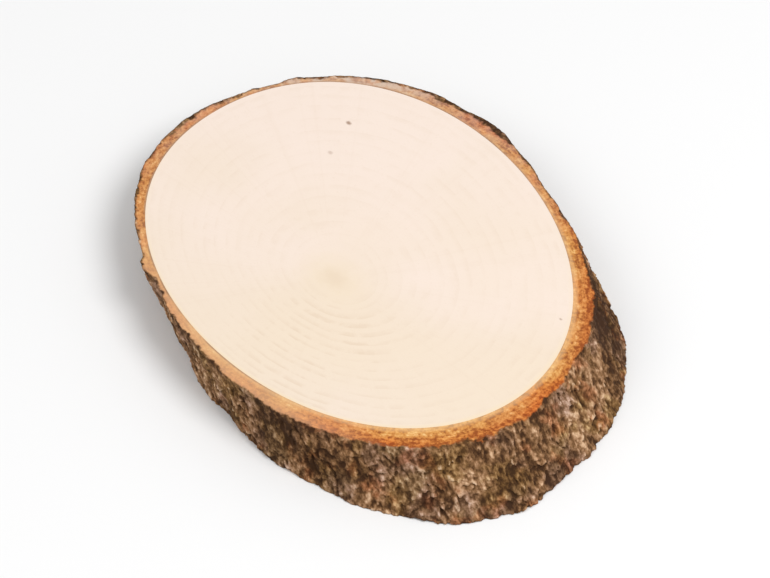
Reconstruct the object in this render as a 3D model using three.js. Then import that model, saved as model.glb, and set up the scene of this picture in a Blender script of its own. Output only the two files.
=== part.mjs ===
// An oval wood slice: one length of a bark-covered hardwood branch between two parallel saw cuts.
// The saw crosses the branch at a slant, so a nearly round branch gives two long oval faces, and
// the bark leans outwards at the +X end and under the upper face at the -X end.
// Millimetres, +Z up. The lower cut face lies on Z = 0, the long axis runs along X, and the origin
// is the middle of the slice's box on that face.
import * as THREE from "three";

// Driving dimensions.
const THICKNESS = 10; // between the two saw cuts
const CUT_SLANT = THREE.MathUtils.degToRad(42); // from a square cut to this one, leaning towards -X
const WOOD_RADIUS = 32.9; // of the wood under the bark, square to the branch
const BARK_THICKNESS = 2.6; // square to the branch
const OUTLINE_POINTS = 216;

// A branch is never quite round. Each wave is [how many crests it has round the branch,
// its height as a share of the radius or thickness, the degrees from +X of its first crest].
const WOOD_WAVES = [
  [2, 0.045, 120],
  [3, 0.012, -5],
  [4, 0.007, 40],
];
const BARK_WAVES = [
  [1, 0.38, 7],
  [2, 0.09, -50],
  [3, 0.15, -33],
  [4, 0.11, 37],
  [5, 0.1, -25],
  [6, 0.06, -14],
  [23, 0.04, 2],
  [37, 0.03, 7],
];

// The sum of some waves at one angle round the branch.
function sumOfWaves(waves, angle) {
  return waves.reduce((sum, [crests, height, crest]) => {
    return sum + height * Math.cos(crests * (angle - THREE.MathUtils.degToRad(crest)));
  }, 0);
}

// The branch's outside, bark included, square to its axis.
function branchOutline() {
  const points = [];
  for (let i = 0; i < OUTLINE_POINTS; i += 1) {
    const angle = (i / OUTLINE_POINTS) * 2 * Math.PI;
    const wood = WOOD_RADIUS * (1 + sumOfWaves(WOOD_WAVES, angle));
    const bark = BARK_THICKNESS * (1 + sumOfWaves(BARK_WAVES, angle));
    const radius = wood + bark;
    points.push(new THREE.Vector2(radius * Math.cos(angle), radius * Math.sin(angle)));
  }
  return new THREE.Shape(points);
}

// What the slant does to a square cut: it draws the round outline out along X, and each
// millimetre of height moves it back along X, because the branch leans that way.
function slantedCut() {
  const stretch = 1 / Math.cos(CUT_SLANT);
  const lean = -Math.tan(CUT_SLANT);
  return new THREE.Matrix4().set(
    stretch, 0, lean, 0,
    0, 1, 0, 0,
    0, 0, 1, 0,
    0, 0, 0, 1,
  );
}

// The whole slice, wood and bark in one solid, as it grew.
function woodSlice() {
  const geometry = new THREE.ExtrudeGeometry(branchOutline(), {
    depth: THICKNESS,
    bevelEnabled: false,
  });
  geometry.applyMatrix4(slantedCut());
  geometry.computeBoundingBox();
  const middle = geometry.boundingBox.getCenter(new THREE.Vector3());
  geometry.translate(-middle.x, -middle.y, 0);
  const material = new THREE.MeshStandardMaterial({
    color: 0xf3e0cd,
    roughness: 0.7,
    metalness: 0,
  });
  const mesh = new THREE.Mesh(geometry, material);
  mesh.name = "wood_slice";
  return mesh;
}

const slice = new THREE.Group();
slice.add(woodSlice());

export default slice;
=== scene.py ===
import math

import bmesh
import bpy
from mathutils import Matrix, Vector, noise


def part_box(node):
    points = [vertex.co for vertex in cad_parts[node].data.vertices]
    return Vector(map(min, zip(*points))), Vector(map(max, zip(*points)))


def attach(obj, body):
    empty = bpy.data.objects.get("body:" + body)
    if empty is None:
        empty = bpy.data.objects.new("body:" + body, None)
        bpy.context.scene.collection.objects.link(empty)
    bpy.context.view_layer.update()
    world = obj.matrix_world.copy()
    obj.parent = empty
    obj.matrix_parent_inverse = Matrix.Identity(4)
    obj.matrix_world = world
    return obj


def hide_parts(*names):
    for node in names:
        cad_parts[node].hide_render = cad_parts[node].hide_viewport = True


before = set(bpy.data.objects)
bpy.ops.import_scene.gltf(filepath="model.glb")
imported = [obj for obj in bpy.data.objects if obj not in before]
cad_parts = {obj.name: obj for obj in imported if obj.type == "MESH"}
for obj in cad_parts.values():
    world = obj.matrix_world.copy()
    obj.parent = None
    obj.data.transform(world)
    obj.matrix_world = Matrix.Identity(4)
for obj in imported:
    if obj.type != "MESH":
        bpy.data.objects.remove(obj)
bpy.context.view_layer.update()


# ---------------------------------------------------------------------------------------------
# The wood: pale, even sapwood of a branch 66 mm thick, sawn through twice at a slant, 10 mm
# apart, and sanded flat on both faces. It is a ball pressed flat between the two cuts, worked
# out in millimetres in the branch's own section and scaled to metres at the end.
# ---------------------------------------------------------------------------------------------
MM = 0.001
CUT_SLANT = math.radians(42)
WOOD_RADIUS = 32.9
WOOD_WAVES = ((2, 0.045, 120), (3, 0.012, -5), (4, 0.007, 40))
BARK_THICKNESS = 2.6
BARK_WAVES = (
    (1, 0.38, 7),
    (2, 0.09, -50),
    (3, 0.15, -33),
    (4, 0.11, 37),
    (5, 0.10, -25),
    (6, 0.06, -14),
)
PITH = Vector((2.5, -7.7))


def sum_of_waves(waves, angle):
    """Waves round the branch, each with its crests, its height and the place of its first crest."""
    return sum(
        height * math.cos(crests * (angle - math.radians(crest)))
        for crests, height, crest in waves
    )


def wood_radius(angle):
    return WOOD_RADIUS * (1 + sum_of_waves(WOOD_WAVES, angle))


def bark_radius(angle):
    return wood_radius(angle) + BARK_THICKNESS * (1 + sum_of_waves(BARK_WAVES, angle))


# The branch leans towards -X as it rises, and its middle follows from the corner of the CAD box.
low, high = (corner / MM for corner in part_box("wood_slice"))
THICKNESS = high.z - low.z
LEAN = math.tan(CUT_SLANT)
TURN = [math.radians(degree) for degree in range(360)]
REACH_X = min(bark_radius(angle) * math.cos(angle) for angle in TURN) / math.cos(CUT_SLANT)
REACH_Y = min(bark_radius(angle) * math.sin(angle) for angle in TURN)
AXIS_X = low.x - REACH_X + THICKNESS * LEAN
AXIS_Y = low.y - REACH_Y


def in_slice(across, height):
    """Where a point of the branch's section lies in the slice, at a height above the lower cut."""
    x = AXIS_X + across.x / math.cos(CUT_SLANT) - height * LEAN
    return Vector((x, AXIS_Y + across.y, height))


def along_branch(across, height):
    """How far up the branch's own axis that point is."""
    return height / math.cos(CUT_SLANT) - across.x * LEAN


def round_branch(angle, radius):
    return Vector((radius * math.cos(angle), radius * math.sin(angle)))


def smoothstep(start, end, value):
    share = min(max((value - start) / (end - start), 0.0), 1.0)
    return share * share * (3 - 2 * share)


def mesh_object(name, bm, material):
    """Ends a mesh made in millimetres as a piece in metres, facing outwards."""
    bmesh.ops.recalc_face_normals(bm, faces=bm.faces)
    bmesh.ops.scale(bm, vec=Vector((MM, MM, MM)), verts=bm.verts)
    mesh = bpy.data.meshes.new(name)
    bm.to_mesh(mesh)
    bm.free()
    mesh.materials.append(material)
    piece = bpy.data.objects.new(name, mesh)
    bpy.context.collection.objects.link(piece)
    return piece


class Shade:
    """One output of a material's nodes. Sums on it add Math nodes, and node() adds any other."""

    def __init__(self, tree, socket=None):
        self.tree = tree
        self.socket = socket

    def node(self, kind, settings=None, inputs=None, output=0):
        node = self.tree.nodes.new(kind)
        for name, value in (settings or {}).items():
            if name == "stops":
                for place, _ in value[len(node.color_ramp.elements):]:
                    node.color_ramp.elements.new(place)
                for element, (place, colour) in zip(node.color_ramp.elements, value):
                    element.position = place
                    element.color = (*colour, 1)
            else:
                setattr(node, name, value)
        for name, value in (inputs or {}).items():
            if isinstance(value, Shade):
                self.tree.links.new(value.socket, node.inputs[name])
            elif isinstance(value, tuple) and len(node.inputs[name].default_value) == 4:
                node.inputs[name].default_value = (*value, 1)
            else:
                node.inputs[name].default_value = value
        return Shade(self.tree, node.outputs[output])

    def maths(self, operation, first, second=0.0):
        return self.node("ShaderNodeMath", {"operation": operation}, {0: first, 1: second})

    def __add__(self, other):
        return self.maths("ADD", self, other)

    __radd__ = __add__

    def __sub__(self, other):
        return self.maths("SUBTRACT", self, other)

    def __rsub__(self, other):
        return self.maths("SUBTRACT", other, self)

    def __mul__(self, other):
        return self.maths("MULTIPLY", self, other)

    def fraction(self):
        return self.maths("FRACT", self)

    def smaller(self, other):
        return self.maths("MINIMUM", self, other)

    def step(self, start, end):
        """0 below start and 1 above end, with a soft rise between them."""
        settings = {"interpolation_type": "SMOOTHSTEP"}
        return self.node("ShaderNodeMapRange", settings, {0: self, 1: start, 2: end})

    def blend(self, colour, other):
        """The first colour where this is 0 and the other where it is 1."""
        return self.node("ShaderNodeMix", {"data_type": "RGBA"}, {0: self, 6: colour, 7: other}, 2)

    def mix(self, colour, share):
        """This colour, with a share of another laid over it."""
        return share.blend(self, colour)

    def tinted(self, tint, share):
        """This colour, with a share of it multiplied by a tint."""
        settings = {"data_type": "RGBA", "blend_type": "MULTIPLY"}
        return self.node("ShaderNodeMix", settings, {0: share, 6: self, 7: tint}, 2)

    def attribute(self, name, output="Fac"):
        return self.node("ShaderNodeAttribute", {"attribute_name": name}, output=output)

    def part(self, axis):
        return self.node("ShaderNodeSeparateXYZ", {}, {0: self}, axis)

    def distance_to(self, place):
        settings = {"operation": "DISTANCE"}
        return self.node("ShaderNodeVectorMath", settings, {0: self, 1: place}, "Value")

    def direction(self):
        return self.node("ShaderNodeVectorMath", {"operation": "NORMALIZE"}, {0: self})

    def stretched(self, scale, shift=(0, 0, 0)):
        """This vector, scaled and then moved."""
        inputs = {0: self, 1: scale, 2: shift}
        return self.node("ShaderNodeVectorMath", {"operation": "MULTIPLY_ADD"}, inputs)

    def moved(self, x, y, z):
        """This vector moved aside, so that noise over it falls elsewhere."""
        return self.stretched((1, 1, 1), (x, y, z))

    def clouds(self, size, detail=2.0, roughness=0.5):
        """Soft noise from 0 to 1 over this vector, with lumps of about this size."""
        inputs = {"Vector": self, "Scale": 1 / size, "Detail": detail, "Roughness": roughness}
        return self.node("ShaderNodeTexNoise", {}, inputs)

    def ramp(self, stops):
        return self.node("ShaderNodeValToRGB", {"stops": stops}, {0: self})

    def bump(self, strength, depth):
        """The surface raised by this value, to a depth in millimetres."""
        inputs = {"Strength": strength, "Distance": depth * MM, "Height": self}
        return self.node("ShaderNodeBump", {}, inputs)


def new_material(name):
    material = bpy.data.materials.new(name)
    material.use_nodes = True
    return material, material.node_tree.nodes["Principled BSDF"], Shade(material.node_tree)


def link(shade, surface, name):
    shade.tree.links.new(shade.socket, surface.inputs[name])


wood, surface, nodes = new_material("sanded_sapwood")
CREAM = (0.815, 0.690, 0.570)
BLUSH = (0.850, 0.720, 0.630)
STRAW = (0.812, 0.680, 0.520)
RING_LINE = (0.68, 0.525, 0.385)
PITH_BROWN = (0.63, 0.47, 0.31)
SPECK_BROWN = (0.33, 0.20, 0.13)
RIM_YELLOW = (0.85, 0.68, 0.43)
YEARS = 17
CLEAR_RINGS = (13, -20, 0)
SPECKS = ((-19.4, 16.8, 0.42, 0.85), (-16.3, 9.8, 0.40, 0.35), (24.9, 16.8, 0.22, 0.6))

section = nodes.attribute("section", "Vector")
flat_section = section.stretched((1, 1, 0))
growth = nodes.attribute("growth")
near_side = (section.part("X") * 0.8 - section.part("Y") * 0.9).step(-32, 38)
colour = (section.clouds(26) + near_side * 0.5).step(0.5, 1.0).blend(BLUSH, CREAM)
colour = colour.mix(STRAW, near_side * section.clouds(30, 1.0).step(0.30, 0.70) * 0.6)
colour = colour.mix(RING_LINE, section.clouds(3.5, 3.0).step(0.45, 0.75) * 0.05)

# A year's growth starts pale and ends in a thin darker line. Years differ in width, and the
# lines come and go, because the sanded face picks some of them up better than others.
wander = section.clouds(9, 2.0) * 0.03 + section.clouds(1.8, 3.0) * 0.008
uneven_year = (growth + wander) * YEARS + growth.stretched((9, 9, 9)).clouds(1) * 1.6
in_year = uneven_year.fraction()
line = in_year.step(0.40, 0.92) * (1 - in_year.step(0.93, 1.0))
clear = 1 - flat_section.distance_to(CLEAR_RINGS).step(4, 17)
showing = section.clouds(11, 2.0).step(0.35, 0.65) * (0.10 + clear * 0.34) + 0.05
worn = section.clouds(2.2, 3.0).step(0.35, 0.62)
colour = colour.mix(RING_LINE, line * showing * worn)

# Rays run out from the pith, and pores fleck the face.
from_pith = flat_section.stretched((1, 1, 0), (-PITH.x, -PITH.y, 0))
ray = from_pith.direction().stretched((34, 34, 34)).clouds(1, 3.0).step(0.52, 0.72)
colour = colour.mix(RING_LINE, ray * 0.06)
pore = section.stretched((1, 1, 0.15)).clouds(0.32, 1.0).step(0.60, 0.75)
colour = colour.mix(RING_LINE, pore * 0.12)

ragged = flat_section.distance_to((PITH.x, PITH.y, 0)) + section.clouds(1.6) * 2.4 - 1.2
colour = colour.mix(STRAW, (1 - ragged.step(1.0, 7.0)) * 0.7)
colour = colour.mix(PITH_BROWN, (1 - ragged.step(0.0, 3.0)) * 0.22)
for x, y, size, strength in SPECKS:
    apart = flat_section.distance_to((x, y, 0)) + section.clouds(0.5) * 0.3 - 0.15
    colour = colour.mix(SPECK_BROWN, (1 - apart.step(size * 0.3, size * 1.4)) * strength)

# The last growth under the bark is damp-stained yellow.
colour = colour.mix(RIM_YELLOW, growth.step(0.972, 1.0) * near_side * 0.5)
link(colour, surface, "Base Color")
link(section.clouds(5) * 0.12 + 0.50, surface, "Roughness")
surface.inputs["Specular IOR Level"].default_value = 0.28
grain = section.stretched((1, 1, 0.12)).clouds(0.5, 3.0)
link(grain.bump(0.12, 0.05), surface, "Normal")

COLUMNS = 288
FACE_ROWS = 44
WALL_ROWS = 4
RIM_EASE = 0.03
WOOD_GAP = 0.005
ROWS = 2 * FACE_ROWS + WALL_ROWS


def wood_row(row):
    """How far a row of the ball ends up from the pith, as a share, and at what height."""
    if row > ROWS / 2:
        share, height = wood_row(ROWS - row)
        return share, THICKNESS - height
    if row > FACE_ROWS:
        down_wall = (row - FACE_ROWS) / WALL_ROWS
        return 1.0, THICKNESS - RIM_EASE - down_wall * (THICKNESS - 2 * RIM_EASE)
    if row == FACE_ROWS:
        return 1.0, THICKNESS - RIM_EASE
    if row == FACE_ROWS - 1:
        return 1 - RIM_EASE / WOOD_RADIUS, THICKNESS
    return row / (FACE_ROWS - 1), THICKNESS


bm = bmesh.new()
bmesh.ops.create_uvsphere(bm, u_segments=COLUMNS, v_segments=ROWS, radius=1)
growth_layer = bm.verts.layers.float.new("growth")
section_layer = bm.verts.layers.float_vector.new("section")
row_of = {}
for vert in bm.verts:
    angle = math.atan2(vert.co.y, vert.co.x)
    row = round(math.acos(max(-1, min(1, vert.co.z))) / math.pi * ROWS)
    share, height = wood_row(row)
    rim = round_branch(angle, wood_radius(angle) - WOOD_GAP)
    across = PITH.lerp(rim, share)
    vert.co = in_slice(across, height)
    vert[growth_layer] = share
    vert[section_layer] = (across.x, across.y, along_branch(across, height))
    row_of[vert] = row

# The map: the upper face over the lower one, and the hidden wall in a strip beside them.
MAP_SPAN = 142.0
MAP_LEFT = 0.01
UPPER_MIDDLE = 0.755
LOWER_MIDDLE = 0.245
STRIP_LEFT = 0.70
STRIP_WIDTH = 0.05
STRIP_LENGTH = 0.97
bake_map = bm.loops.layers.uv.new("OFBake")
for face in bm.faces:
    rows = [row_of[vert] for vert in face.verts]
    on_wall = min(rows) >= FACE_ROWS and max(rows) <= FACE_ROWS + WALL_ROWS
    upper = max(rows) <= FACE_ROWS
    turn = math.atan2(face.calc_center_median().y - AXIS_Y, face.calc_center_median().x)
    for loop in face.loops:
        spot = loop.vert.co
        if on_wall:
            angle = math.atan2(spot.y - AXIS_Y, spot.x)
            angle += math.tau * round((turn - angle) / math.tau)
            u = STRIP_LEFT + STRIP_WIDTH * (row_of[loop.vert] - FACE_ROWS) / WALL_ROWS
            loop[bake_map].uv = (u, 0.5 + angle / math.tau * STRIP_LENGTH)
        else:
            u = (spot.x - low.x) / MAP_SPAN if upper else (high.x - spot.x) / MAP_SPAN
            v = (spot.y - AXIS_Y) / MAP_SPAN
            loop[bake_map].uv = (u + MAP_LEFT, v + (UPPER_MIDDLE if upper else LOWER_MIDDLE))

slice_wood = mesh_object("slice_wood", bm, wood)
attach(slice_wood, "root")
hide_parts("wood_slice")


# ---------------------------------------------------------------------------------------------
# The bark: a ring grown round the wood, 1 to 4 mm thick. Its cut edge shows orange-brown inner
# bark under a thin dark crust, and its outside is cracked, flaky and spotted with pale lichen.
# It is a sheet rolled into a ring, then shaped crack by crack, and it holds to the wood by growth.
# ---------------------------------------------------------------------------------------------
# Columns round the ring, and rows up its outside, over each cut edge and down its inside.
AROUND = 1161
WALL = 52
CUT = 10
INNER = 3
LOOP = WALL + CUT + INNER + CUT

# Sizes in millimetres.
VISIBLE_THICKNESS = 2.4
LEAST_THICKNESS = 0.75
LOWER_EDGE_CRUST = 0.4
SAME_PLACE = 0.001

# Where round the branch the bark is roughest, how much a stain or a patch of painted shade shows,
# and how far a lump, a stain or a patch of shade reaches, as a share of the slice's thickness.
ROUGHEST = math.radians(-15)
STAIN_AND_SHADE_STRENGTH = 3.0
LEVEL_REACH = 0.65
NOISE_SEED = 1

# Without a seed the noise differs from run to run, and so would the bark.
noise.seed_set(NOISE_SEED)

# Places where a flake is missing or stands proud: degrees round the branch, half width in
# degrees, height in millimetres, and the level it sits at, from 0 at the lower cut to 1 at the
# upper one.
LUMPS = (
    (101, 6, 0.75, 0.8),
    (76, 9, -0.60, 1.0),
    (57, 9, -0.70, 1.0),
    (57, 12, 0.45, 0.0),
    (41, 13, -0.32, 0.0),
    (6, 14, -0.70, 0.0),
    (14, 3, 0.25, 0.0),
    (-21, 5, -0.40, 0.0),
    (-34, 5, 0.30, 0.0),
    (-8, 5, -0.25, 0.0),
    (-45, 4, -0.50, 0.0),
    (-62, 6, -0.30, 0.0),
    (-75, 5, 0.40, 0.0),
    (-90, 6, -0.40, 0.0),
    (-96, 6, 0.20, 0.1),
    (-106, 5, -0.50, 0.2),
    (247, 3, 0.90, 1.0),
    (228, 11, -0.30, 1.0),
    (188, 14, 0.20, 1.0),
    (160, 4, -0.40, 1.0),
    (146, 4, -0.25, 1.0),
    (88, 9, -0.30, 1.0),
)

# Places where the crust is darker or paler than elsewhere, told in the same way: stains, and at -58
# and 47 degrees high on the wall, painted shade under the upper cut edge.
STAINS_AND_SHADE = (
    (-58, 9, -0.24, 0.90),
    (-88, 12, 0.12, 0.60),
    (-28, 12, 0.13, 0.70),
    (-15, 6, -0.08, 0.20),
    (14, 11, 0.14, 0.65),
    (2, 12, -0.08, 0.10),
    (47, 11, -0.44, 0.80),
    (103, 8, -0.35, 1.00),
)


def sum_of_places(places, angle, level):
    total = 0.0
    for place, width, height, at in places:
        apart = (math.degrees(angle) - place + 180) % 360 - 180
        total += height * math.exp(-((apart / width) ** 4) - ((level - at) / LEVEL_REACH) ** 2)
    return total


def cracks(spot, width):
    """0 on a flake of bark and 1 in the crack round it, with a chance number for the flake."""
    distances, centres = noise.voronoi(spot)
    return 1 - smoothstep(0.0, width, distances[1] - distances[0]), noise.cell(centres[0] * 7.3)


def pits(spot):
    """1 at the bottom of the few small pits scattered over the bark, and 0 outside them."""
    distances, centres = noise.voronoi(spot)
    return (1 - smoothstep(0.10, 0.45, distances[0])) * (noise.cell(centres[0] * 5.1) > 0.6)


def roughness_at(angle):
    """The bark is roughest at the near end, where its outside leans up, and quiet at the far one."""
    return 0.55 + 0.45 * smoothstep(-0.9, 0.2, math.cos(angle - ROUGHEST))


def outer_bark(angle, level):
    """The outside of the bark at one place: its radius, its tone from how far it stands out, with
    stains and painted shade, and its flake.
    """
    base = round_branch(angle, wood_radius(angle) + VISIBLE_THICKNESS)
    spot = Vector((base.x, base.y, along_branch(base, level * THICKNESS)))
    spot += noise.noise_vector(spot * 0.22) * 1.2 + noise.noise_vector(spot * 0.9) * 0.45
    grown = Vector((spot.x, spot.y, spot.z / 1.5))
    swell = noise.noise(spot * 0.07) * 0.40 + noise.noise(spot * 0.17) * 0.30
    swell += sum_of_places(LUMPS, angle, level)
    knobs = noise.fractal(grown * 0.34, 0.9, 2.0, 2)
    crumbs = noise.fractal(grown * 1.15, 0.45, 2.1, 4)
    fissure = 1 - smoothstep(0.0, 0.13, abs(noise.noise(grown * 0.33 + Vector((3, 8, 1)))))
    fissure *= smoothstep(-0.15, 0.30, noise.noise(spot * 0.13 + Vector((9, 4, 2))))
    plate_crack = cracks(Vector((spot.x, spot.y, spot.z / 2.6)) / 1.9, 0.22)[0]
    flake_crack, flake_chance = cracks(grown / 0.95, 0.35)
    pit = pits(grown / 2.0)
    rise = 0.20 * knobs + 0.20 * crumbs + 0.14 * (flake_chance - 0.5)
    rise -= 0.40 * fissure + 0.12 * plate_crack + 0.06 * flake_crack + 0.35 * pit
    rough = roughness_at(angle)
    rise *= rough
    rise *= 1 - 0.6 * smoothstep(0.86, 1.0, level) - 0.4 * (1 - smoothstep(0.0, 0.12, level))
    smooth_radius = wood_radius(angle) + VISIBLE_THICKNESS * (1 + sum_of_waves(BARK_WAVES, angle))
    radius = smooth_radius + swell + rise
    # How far it stands out also sets its colour: the hollows come out dark, partly the bark's own
    # dark fissures and partly painted shade.
    standing = 0.50 * crumbs + 0.35 * knobs + 0.5 * (flake_chance - 0.5)
    standing -= 0.9 * fissure + 0.55 * plate_crack + 1.0 * pit + 0.15 * flake_crack - 0.15
    standing += STAIN_AND_SHADE_STRENGTH * sum_of_places(STAINS_AND_SHADE, angle, level)
    # Painted shade: the crust is darkened just under the upper cut edge, most where the bark is
    # roughest.
    standing -= 0.25 * (2 * rough - 1) * smoothstep(0.88, 1.0, level)
    return max(radius, wood_radius(angle) + LEAST_THICKNESS), standing, flake_chance


def edge_drop(angle, level):
    """How far the crumbled edge of the cut bark lies under the saw cut."""
    spot = Vector((math.cos(angle), math.sin(angle), level)) * WOOD_RADIUS
    chips = 0.45 * max(0.0, noise.noise(spot * 0.45)) + 0.15 * max(0.0, noise.noise(spot * 1.7))
    return 0.06 + chips * (2 * roughness_at(angle) - 1)


def cut_drop(angle, radius, depth, edge, side):
    """How far the fibrous cut face of the bark lies inside the saw cut."""
    spot = Vector((radius * math.cos(angle), radius * math.sin(angle), 50.0 * side))
    fibres = 0.05 + 0.07 * (1 + noise.fractal(spot * 1.3, 0.7, 2.1, 3))
    share = smoothstep(0.55, 1.0, depth)
    return max(fibres * (1 - share) + edge * share, 0.0) * smoothstep(0.05, 0.3, depth)


def column_angle(column):
    return math.tau * (column % AROUND) / AROUND


bm = bmesh.new()
bmesh.ops.create_grid(bm, x_segments=AROUND, y_segments=LOOP, size=0.5)
from_wood_layer = bm.verts.layers.float.new("from_wood")
from_air_layer = bm.verts.layers.float.new("from_air")
standing_layer = bm.verts.layers.float.new("standing")
flake_layer = bm.verts.layers.float.new("flake")
section_layer = bm.verts.layers.float_vector.new("section")

# The map: the ring cut into three strips, one above the other.
STRIPS = 3
MARGIN_ALONG = 0.005
MARGIN_ACROSS = 0.01
bake_map = bm.loops.layers.uv.new("OFBake")
for face in bm.faces:
    strip = min(int((face.calc_center_median().x + 0.5) * STRIPS), STRIPS - 1)
    for loop in face.loops:
        along = (loop.vert.co.x + 0.5) * STRIPS - strip
        across = loop.vert.co.y + 0.5
        u = MARGIN_ALONG + (1 - 2 * MARGIN_ALONG) * along
        v = (strip + MARGIN_ACROSS + (1 - 2 * MARGIN_ACROSS) * across) / STRIPS
        loop[bake_map].uv = (u, v)

# Both edges of the bark at every column: radius, how far it stands out, and how low it crumbled.
edges = []
for column in range(AROUND + 1):
    angle = column_angle(column)
    bottom, bottom_standing, _ = outer_bark(angle, 0.0)
    top, top_standing, _ = outer_bark(angle, 1.0)
    drops = (edge_drop(angle, 0), edge_drop(angle, 1))
    edges.append((bottom, bottom_standing, top, top_standing, *drops))

for vert in bm.verts:
    column = round((vert.co.x + 0.5) * AROUND)
    row = round((vert.co.y + 0.5) * LOOP)
    angle = column_angle(column)
    inner = wood_radius(angle)
    bottom, bottom_standing, top, standing, bottom_drop, top_drop = edges[column]
    flake = 0.5
    if row <= WALL:
        level = row / WALL
        radius, standing, flake = outer_bark(angle, level)
        height = bottom_drop + level * (THICKNESS - top_drop - bottom_drop)
        from_air = -min(level * THICKNESS + LOWER_EDGE_CRUST, (1 - level) * THICKNESS)
    elif row <= WALL + CUT:
        depth = 1 - (row - WALL) / CUT
        radius = inner + depth * (top - inner)
        height = THICKNESS - cut_drop(angle, radius, depth, top_drop, 1)
        from_air = top - radius
    elif row < WALL + CUT + INNER:
        radius = inner
        height = THICKNESS * (1 - (row - WALL - CUT) / INNER)
        from_air = bottom - radius
    else:
        depth = (row - WALL - CUT - INNER) / CUT
        radius = inner + depth * (bottom - inner)
        height = cut_drop(angle, radius, depth, bottom_drop, 0)
        from_air = bottom - radius
        standing = bottom_standing
    across = round_branch(angle, radius)
    vert.co = in_slice(across, height)
    vert[from_wood_layer] = radius - inner
    vert[from_air_layer] = from_air
    vert[standing_layer] = standing
    vert[flake_layer] = flake
    vert[section_layer] = (across.x, across.y, along_branch(across, height))
bmesh.ops.remove_doubles(bm, verts=bm.verts, dist=SAME_PLACE)
for face in bm.faces:
    face.smooth = True
for edge in bm.edges:
    edge.smooth = any(vert[from_wood_layer] > SAME_PLACE for vert in edge.verts)

bark, surface, nodes = new_material("rough_bark")
CRUST = (
    (0.06, (0.052, 0.021, 0.007)),
    (0.28, (0.110, 0.050, 0.018)),
    (0.48, (0.225, 0.114, 0.048)),
    (0.68, (0.380, 0.210, 0.108)),
    (0.94, (0.680, 0.450, 0.275)),
)
OLIVE_TINT = (0.88, 0.89, 0.70)
RUST_TINT = (1.08, 0.84, 0.74)
GREY_TINT = (0.95, 1.00, 1.25)
FLAKE_PALE = (0.640, 0.450, 0.300)
INNER_BARK = (
    (0.30, (0.30, 0.085, 0.020)),
    (0.45, (0.56, 0.215, 0.055)),
    (0.60, (0.70, 0.330, 0.105)),
    (0.78, (0.86, 0.560, 0.270)),
)
GOLD_TINT = (1.05, 1.18, 1.10)
RED_TINT = (1.0, 0.80, 0.65)
INNER_GREY = (0.62, 0.49, 0.40)
INNER_TAN = (0.71, 0.43, 0.24)
INNER_YELLOW = (0.86, 0.62, 0.33)
JOINT_BROWN = (0.42, 0.24, 0.14)

section = nodes.attribute("section", "Vector")
standing = nodes.attribute("standing")
flake = nodes.attribute("flake")
from_wood = nodes.attribute("from_wood")
from_air = nodes.attribute("from_air")
fine = section.stretched((1, 1, 0.7)).clouds(0.85, 4.0, 0.60)

# The outside: painted dark in the hollows, partly the bark's own dark fissures and partly painted
# shade, and worn pale on the ridges, in patches of olive, rust and grey, with a few loose pale
# flakes.
patches = section.clouds(7, 2.0) - 0.5
tone = standing * 0.28 + fine * 1.9 + patches * 0.8 - 0.44
crust = tone.ramp(CRUST)
crust = crust.tinted(OLIVE_TINT, section.clouds(6, 3.0).step(0.48, 0.60))
crust = crust.tinted(RUST_TINT, section.moved(40, 0, 0).clouds(5, 3.0).step(0.54, 0.66))
crust = crust.tinted(GREY_TINT, section.moved(0, 60, 0).clouds(9, 2.0).step(0.48, 0.60))
pale_flake = flake.step(0.82, 0.90) * standing.step(0.0, 0.3) * fine.step(0.42, 0.62)
crust = crust.mix(FLAKE_PALE, pale_flake * 0.7)

# The cut edge: thin layers of granular orange inner bark, greyer on the far side, with a line
# next to the wood that is yellow at the near end and brown at the other.
outwards = section.stretched((1, 1, 0)).direction()
layer_height = nodes.node("ShaderNodeCombineXYZ", {}, {2: from_wood * 2.4})
layers = outwards.stretched((14, 14, 0), layer_height).clouds(1, 3.0, 0.6)
grains = section.clouds(0.8, 4.0, 0.65)
depth = grains * 1.05 + layers * 0.55 + section.clouds(4.5, 2.0) * 0.3 - 0.42
depth = depth - from_wood.step(0.6, 3.0) * 0.10 - 0.05
inside = depth.ramp(INNER_BARK)
inside = inside.tinted(GOLD_TINT, section.clouds(12, 2.0).step(0.45, 0.62) * 0.7)
inside = inside.tinted(RED_TINT, section.moved(0, 0, 30).clouds(10, 2.0).step(0.50, 0.65))
inside = inside.tinted(RED_TINT, from_wood.step(1.0, 2.4) * 0.85)
far_side = section.part("Y") * 0.8 - section.part("X") * 1.15
weathered = far_side.step(0, 45) * 0.3 + far_side.step(43, 50) * 0.55
inside = inside.mix(INNER_GREY, weathered * (section.clouds(1.6, 3.0).step(0.34, 0.60) * 0.6 + 0.5))
inside = inside.mix(INNER_TAN, (1 - section.part("Y").step(-35, -22)) * 0.6)
near_end = section.part("X").step(-32, 30)
inside = inside.mix(INNER_YELLOW, (1 - (from_wood + grains).step(0.7, 1.4)) * near_end * 0.35)
joint = (1 - from_wood.step(0.10, 0.36)) * (1 - section.part("X").step(4, 26))
inside = inside.mix(JOINT_BROWN, joint * section.clouds(6, 2.0).step(0.3, 0.6) * 0.9)
uneven = section.clouds(1.1, 3.0) * 1.4 + section.clouds(4, 1.0) * 1.6 - 1.5
past_crust = from_air - 0.32 + near_end * 0.12 + uneven * 0.8
short_of_crust = near_end * 1.3 + 1.80 - from_wood + uneven
under_crust = past_crust.smaller(short_of_crust)
colour = crust.mix(inside, under_crust.step(-0.25, 0.20))
link(colour, surface, "Base Color")
surface.inputs["Roughness"].default_value = 0.88
surface.inputs["Specular IOR Level"].default_value = 0.2
relief = fine * 0.7 + section.clouds(0.2, 2.0) * 0.3
link(relief.bump(0.8, 0.3), surface, "Normal")

slice_bark = mesh_object("slice_bark", bm, bark)
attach(slice_bark, "root")
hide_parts("wood_slice")


# ---------------------------------------------------------------------------------------------
# The floor: a plain pale sheet, 3 m across, that the slice lies on. It is part of the stage.
# ---------------------------------------------------------------------------------------------
FLOOR_HALF = 1500
FLOOR_GAP = 0.05

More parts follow.
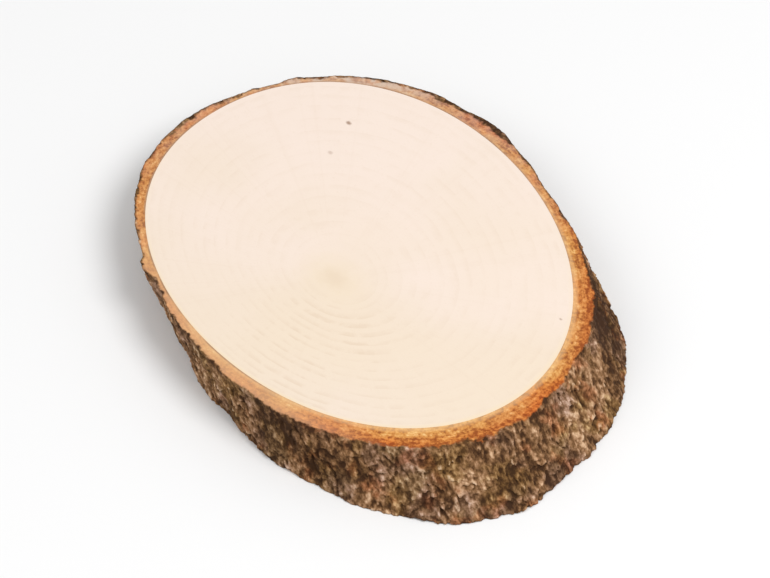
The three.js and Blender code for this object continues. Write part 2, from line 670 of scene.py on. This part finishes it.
paper, surface, _ = new_material("pale_paper")
surface.inputs["Base Color"].default_value = (0.86, 0.86, 0.86, 1)
surface.inputs["Roughness"].default_value = 0.9
bm = bmesh.new()
lowered = Matrix.Translation((0, 0, -FLOOR_GAP))
bmesh.ops.create_grid(bm, x_segments=2, y_segments=2, size=FLOOR_HALF, matrix=lowered)
floor = mesh_object("floor", bm, paper)


# ---------------------------------------------------------------------------------------------
# Light: a broad soft lamp to the right of the camera, a weaker one to its left, and a pale room.
# ---------------------------------------------------------------------------------------------
def away_from_slice(azimuth, elevation):
    """The way out from the slice, turned from -Y towards +X and raised, in degrees."""
    turn = math.radians(azimuth)
    rise = math.radians(elevation)
    level = math.cos(rise)
    return Vector((math.sin(turn) * level, -math.cos(turn) * level, math.sin(rise)))


def soft_lamp(name, azimuth, elevation, distance, size, power):
    lamp = bpy.data.lights.new(name, "AREA")
    lamp.shape = "DISK"
    lamp.size = size
    lamp.energy = power
    lamp_object = bpy.data.objects.new(name, lamp)
    away = away_from_slice(azimuth, elevation)
    lamp_object.location = away * distance
    lamp_object.rotation_euler = away.to_track_quat("Z", "Y").to_euler()
    bpy.context.collection.objects.link(lamp_object)


soft_lamp("key_lamp", azimuth=110, elevation=55, distance=0.9, size=0.5, power=4.7)
soft_lamp("fill_lamp", azimuth=-20, elevation=45, distance=1.1, size=0.7, power=2.1)
room = bpy.data.worlds.new("room")
room.use_nodes = True
room.node_tree.nodes["Background"].inputs["Color"].default_value = (1, 1, 1, 1)
room.node_tree.nodes["Background"].inputs["Strength"].default_value = 0.6
bpy.context.scene.world = room
bpy.context.scene.view_settings.view_transform = "Standard"


# ---------------------------------------------------------------------------------------------
# The camera looks down on the near end of the slice, where the bark slopes outwards.
# ---------------------------------------------------------------------------------------------
VIEW_AZIMUTH = 53.5
VIEW_ELEVATION = 45
VIEW_DISTANCE = 0.7
VIEW_WIDTH = 0.130
SENSOR_WIDTH = 36

lens = bpy.data.cameras.new("camera")
lens.sensor_width = SENSOR_WIDTH
lens.lens = SENSOR_WIDTH * VIEW_DISTANCE / VIEW_WIDTH
camera = bpy.data.objects.new("camera", lens)
back = away_from_slice(VIEW_AZIMUTH, VIEW_ELEVATION)
middle = sum(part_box("wood_slice"), Vector()) / 2
camera.location = middle + back * VIEW_DISTANCE
camera.rotation_euler = back.to_track_quat("Z", "Y").to_euler()
bpy.context.collection.objects.link(camera)
bpy.context.scene.camera = camera
